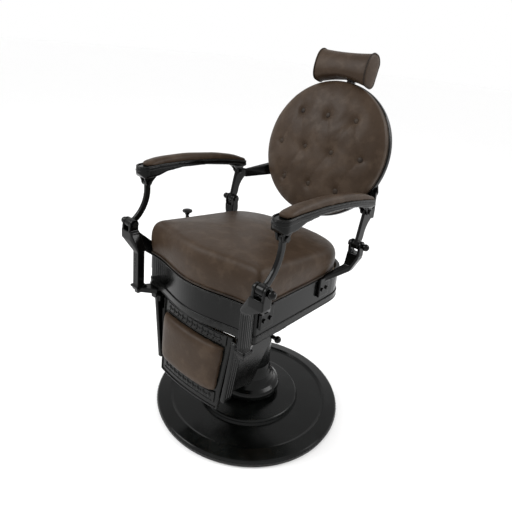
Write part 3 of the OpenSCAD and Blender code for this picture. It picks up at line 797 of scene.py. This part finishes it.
BED = ((-0.320, -0.250, -0.120, 0.020, 0.120, 0.190), (0.9036, 0.9083, 0.9072, 0.8962, 0.8823, 0.8686))
CREST = ((-0.296, -0.270, -0.230, -0.120, 0.020, 0.120, 0.186),
         (0.9165, 0.9255, 0.9300, 0.9315, 0.9200, 0.9030, 0.8800))


def bent(line, y):
    """A chain of heights along y, rounded by averaging over 50 mm."""
    return sum(np.interp(y + shift, *line) for shift in np.linspace(-0.025, 0.025, 9)) / 9


def arm_pad():
    """Rows run along y; each column goes over the pad and back under it."""
    inset, start = 0.0045, 0.020
    nose_r, tail_r = NOSE_R - inset, TAIL_R - inset
    nose_y = NOSE_Y + start
    span = TAIL_Y + tail_r - nose_y + nose_r
    along = nose_y - nose_r + span * (1 - np.cos(np.linspace(0, np.pi, 220))) / 2
    across_pad = np.linspace(-1, 1, 44)
    rows = []
    for y in along:
        half = max(float(arm_width(y, nose_y, nose_r, TAIL_Y, tail_r)), 1e-5)
        bed = float(bent(BED, y)) + 0.0008
        full = min(half / 0.016, 1) ** 0.5
        top = bed + (float(bent(CREST, y)) - bed) * full * (1 - np.abs(across_pad) ** 3.0) ** 0.55
        over = np.c_[ARM_X + half * across_pad, np.full(44, y), top]
        under = np.c_[ARM_X + half * across_pad[::-1], np.full(44, y), np.full(44, bed)]
        rows.append(np.concatenate([over, under[1:-1]]))
    return skin("arm_pad_left_leather", np.array(rows), "leather")


pad_left = arm_pad()
smooth_out(stuff(pad_left, 0.0035, 3.0, 0.002, 12), 2)
pad_right = mirrored("arm_pad_right_leather", pad_left)
for pad, side in ((pad_left, "left"), (pad_right, "right")):
    fit_out(pad, f"arm_{side}", "leather", f"arm_pad_{side}")


def arm_loop(inset, drop):
    """Closed path round the casting's plan, on its top face."""
    turn_nose = np.linspace(np.pi, 2 * np.pi, 40)
    turn_tail = np.linspace(0, np.pi, 30)
    nose = np.c_[ARM_X + (NOSE_R - inset) * np.cos(turn_nose), NOSE_Y + (NOSE_R - inset) * np.sin(turn_nose)]
    tail = np.c_[ARM_X + (TAIL_R - inset) * np.cos(turn_tail), TAIL_Y + (TAIL_R - inset) * np.sin(turn_tail)]
    plan = np.concatenate([nose, np.linspace(nose[-1], tail[0], 90)[1:-1], tail,
                           np.linspace(tail[-1], nose[0], 90)[1:-1]])
    return np.c_[plan, bent(BED, plan[:, 1]) - drop]


for drop, inset, thick, name in ((-0.0002, 0.0030, 0.0030, "lip"), (0.0120, 0.0004, 0.0018, "side_bead")):
    bead = tube(f"arm_{name}_left", arm_loop(inset, drop), thick, "enamel", (0, 0, 1), closed=True, sides=8)
    twin = mirrored(f"arm_{name}_right", bead)
    fit_out(bead, "arm_left", "black_enamel")
    fit_out(twin, "arm_right", "black_enamel")

# %% [markdown]
# The legrest is a curved plate with a padded panel and a cast ornament above
# and below it. The ornament is a plain row of lozenges and beads.

# %% Legrest
LEG_LEAN = math.radians(4.3)
PANEL_TOP = np.array([0, -0.294, 0.480])
leg_up = np.array([0, math.sin(LEG_LEAN), math.cos(LEG_LEAN)])
leg_in = np.array([0, math.cos(LEG_LEAN), -math.sin(LEG_LEAN)])
PANEL_W, PANEL_FOOT_W, PANEL_H, PANEL_BOW = 0.164, 0.139, 0.268, 0.018


def on_panel(x, proud, height):
    """Points on the legrest: proud in front of the plate's bowed face, height below 0 from its top."""
    x, proud, height = np.broadcast_arrays(x, proud, height)
    depth = -PANEL_BOW * (1 - (x / PANEL_W) ** 2) - proud
    return PANEL_TOP + x[..., None] * np.array([1.0, 0, 0]) + depth[..., None] * leg_in \
        + height[..., None] * leg_up


def calf_pad():
    """A pillow on the bowed plate: thickness (1 - u^8)^0.4 (1 - v^8)^0.4 over its taper."""
    u = np.sin(np.linspace(-np.pi / 2, np.pi / 2, 110))
    v = np.sin(np.linspace(-np.pi / 2, np.pi / 2, 90))
    uu, vv = np.meshgrid(u, v)
    high, low_edge = -0.041, -0.205
    height = (high + low_edge) / 2 + vv * (high - low_edge) / 2 * (1 - 0.030 * np.abs(uu) ** 6)
    half = 0.128 + (0.141 - 0.128) * (vv + 1) / 2
    x = uu * half * (1 - 0.030 * np.abs(vv) ** 6)
    full = ((1 - np.abs(uu) ** 8) * (1 - np.abs(vv) ** 8)) ** 0.42
    front = on_panel(x, 0.0008 + 0.0265 * full, height)
    rear = on_panel(x, 0.0004, height)
    rows = np.concatenate([front, rear[:, ::-1][:, 1:-1]], 1)
    closing = np.concatenate([rear, rear[:, ::-1][:, 1:-1]], 1)
    return skin("calf_pad_leather", np.concatenate([closing[:1], rows, closing[-1:]]), "leather")


calf = calf_pad()
smooth_out(stuff(calf, 0.004, 3.0, 0.003, 14), 2)
fit_out(calf, "legrest", "leather", "calf_pad")


def lozenge(x, height, wide, tall, proud):
    """Faceted lozenge on the plate, 8 points round and a raised middle."""
    angle = np.linspace(0, 2 * np.pi, 8, endpoint=False)
    ring = np.where(np.arange(8) % 2 == 0, 1.0, 0.62)
    rows = [on_panel(x + wide * k * ring * np.cos(angle), p, height + tall * k * ring * np.sin(angle))
            for k, p in ((0.001, 0.003), (1.0, 0.003), (0.86, 0.003 + 0.6 * proud), (0.45, 0.003 + proud),
                         (0.001, 0.003 + 0.9 * proud))]
    return skin("lozenge", np.array(rows), "enamel")


def ornament(name, height, half, count, tall):
    """Row of lozenges with a bead between neighbours, in a frame of two thin rails."""
    parts = []
    for k, x in enumerate(np.linspace(-half, half, count)):
        if k % 2 == 0:
            parts.append(lozenge(x, height, 0.0085, tall * 0.40, 0.0042))
        else:
            parts.append(lozenge(x, height, 0.0042, tall * 0.17, 0.0036))
    x = np.linspace(-half - 0.012, half + 0.012, 60)
    for edge in (-0.5, 0.5):
        path = on_panel(x, 0.0044, np.full(60, height + edge * tall))
        parts.append(tube("rail", path, 0.0016, "enamel", (0, 0, 1), sides=8))
    return join(name, parts)


fit_out(ornament("legrest_ornament_top", -0.020, 0.118, 21, 0.030), "legrest", "black_enamel")
fit_out(ornament("legrest_ornament_foot", -0.2285, 0.106, 19, 0.030), "legrest", "black_enamel")

# %% Rolled edge of the plate
corner_turn = np.linspace(0, 1, 40)
side_height = -PANEL_H * corner_turn
side_x = PANEL_W + (PANEL_FOOT_W - PANEL_W) * corner_turn - 0.0025
top_x = np.linspace(-PANEL_W + 0.0025, PANEL_W - 0.0025, 60)
foot_x = np.linspace(PANEL_FOOT_W - 0.0025, -PANEL_FOOT_W + 0.0025, 60)
loop = np.concatenate([on_panel(top_x, 0.001, np.full(60, -0.0025)),
                       on_panel(side_x, 0.001, side_height)[1:-1],
                       on_panel(foot_x, 0.001, np.full(60, -PANEL_H + 0.0025)),
                       on_panel(-side_x[::-1], 0.001, side_height[::-1])[1:-1]])
fit_out(tube("legrest_edge_bead", loop, 0.0030, "enamel", leg_in, closed=True, sides=8),
        "legrest", "black_enamel")

# %% [markdown]
# The rim of the base carries a fine row of cast ribs. They are one surface: a
# band whose radius is modulated by a cosine, 150 ribs to the turn.

# %% Ribbed rim of the base
BASE_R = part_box("base_plate")[1].x


def ribbed_rim():
    """Rows run up the band; radius = base + ridge * (1 + cos(150 angle)) / 2, faded at both edges."""
    turns = np.linspace(0, 2 * np.pi, 1200, endpoint=False)
    ribs = (1 + np.cos(150 * turns)) / 2
    section = [(-0.0045, 0.0086, 0.0), (-0.0010, 0.0088, 0.0), (0.0004, 0.0100, 0.6), (0.0006, 0.0125, 1.0),
               (0.0006, 0.0155, 1.0), (0.0002, 0.0180, 0.6), (-0.0015, 0.0196, 0.0), (-0.0045, 0.0200, 0.0)]
    rows = []
    for out, height, ridge in section:
        reach = BASE_R + out + 0.0014 * ridge * ribs
        rows.append(np.c_[reach * np.cos(turns), reach * np.sin(turns), np.full(1200, height)])
    return skin("base_ribbed_rim", np.array(rows), "base_enamel", wrap_rows=True)


fit_out(ribbed_rim(), "base", "black_enamel")
